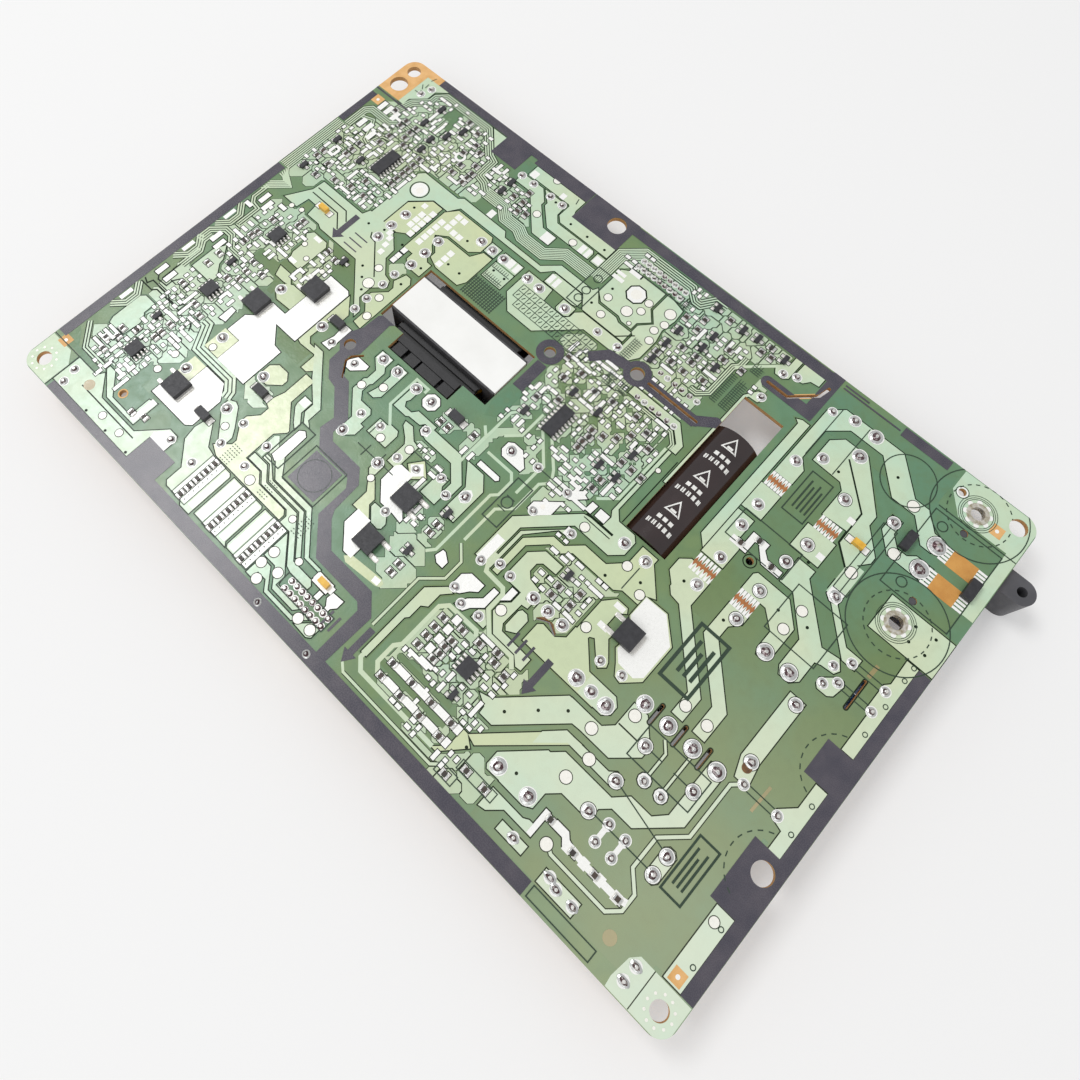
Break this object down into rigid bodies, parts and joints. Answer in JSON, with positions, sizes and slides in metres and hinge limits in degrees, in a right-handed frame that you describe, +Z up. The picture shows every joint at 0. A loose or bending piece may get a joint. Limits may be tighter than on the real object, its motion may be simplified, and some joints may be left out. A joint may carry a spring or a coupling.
{
  "type": "television power supply board",
  "caption": "Single-sided switched-mode power supply board with surface-mount parts on top, through-hole parts hanging below and a mains inlet at one edge.",
  "frame": {"origin": "middle of the bounding box in plan, at the plane the board rests on", "axes": "+Z up out of the solder side, +X along the long side towards the mains inlet, +Y along the short side towards the output header with the most pins"},
  "size_m": [0.2492, 0.16, 0.0169],
  "materials": {
    "board_laminate": "satin solder mask over tan paper laminate",
    "solder": "bright",
    "tinned_metal": "satin",
    "chip_black": "matte",
    "chip_ceramic": "matte",
    "tantalum_yellow": "satin",
    "ferrite": "matte",
    "bobbin_black": "matte",
    "tape_white": "satin",
    "tape_yellow": "satin",
    "copper_wire": "enamelled",
    "sleeve_brown": "glossy",
    "sleeve_black": "glossy",
    "can_aluminium": "satin",
    "seal_rubber": "matte",
    "sink_aluminium": "satin",
    "screw_steel": "zinc plated",
    "eyelet_brass": "tinned",
    "film_grey": "satin",
    "film_red": "glossy",
    "disc_blue": "glossy",
    "inlet_black": "satin",
    "header_cream": "satin",
    "coupler_white": "satin",
    "choke_base_black": "matte",
    "fuse_glass": "clear",
    "fuse_nickel": "plated",
    "resistor_green": "matte"
  },
  "bodies": {
    "root": {"circuit_board": "board_laminate", "solder_joints": "solder", "jumper_wires": "tinned_metal", "chip_bodies": "chip_ceramic", "chip_ends": "solder", "bleed_resistors": "chip_black", "tantalum_capacitors": "tantalum_yellow", "small_transistors": "chip_black", "small_transistor_leads": "tinned_metal", "controllers": "chip_black", "controller_leads": "tinned_metal", "power_transistors": "chip_black", "power_tabs": "tinned_metal", "surge_diodes": "chip_black", "transformer_core_upper": "ferrite", "transformer_core_lower": "ferrite", "transformer_bobbin": "bobbin_black", "transformer_winding": "tape_yellow", "transformer_tape": "tape_white", "transformer_pins": "tinned_metal", "main_capacitor_can": "can_aluminium", "main_capacitor_sleeve": "sleeve_brown", "main_capacitor_seal": "seal_rubber", "small_capacitor_cans": "can_aluminium", "small_capacitor_sleeves": "sleeve_black", "small_capacitor_seals": "seal_rubber", "capacitor_leads": "tinned_metal", "inlet_housing": "inlet_black", "inlet_contacts": "fuse_nickel", "screw_eyelets": "eyelet_brass", "choke_cores": "ferrite", "choke_windings": "copper_wire", "choke_bases": "choke_base_black", "box_capacitors": "film_grey", "flat_capacitor": "film_red", "surge_varistor": "disc_blue", "disc_capacitors": "disc_blue", "bridge_rectifier": "chip_black", "switching_transistor": "chip_black", "power_pins": "tinned_metal", "heat_sinks": "sink_aluminium", "sink_screws": "screw_steel", "pfc_inductor_core": "ferrite", "pfc_inductor_bobbin": "bobbin_black", "pfc_inductor_winding": "tape_yellow", "inductor_pins": "tinned_metal", "small_inductor_cores": "ferrite", "small_inductor_bases": "choke_base_black", "small_inductor_windings": "copper_wire", "fuse_tube": "fuse_glass", "fuse_caps": "fuse_nickel", "fuse_element": "tinned_metal", "inrush_resistor": "resistor_green", "power_diodes": "chip_black", "axial_leads": "tinned_metal", "optocouplers": "coupler_white", "optocoupler_leads": "tinned_metal", "output_headers": "header_cream", "header_pins": "tinned_metal"}
  },
  "joints": []
}
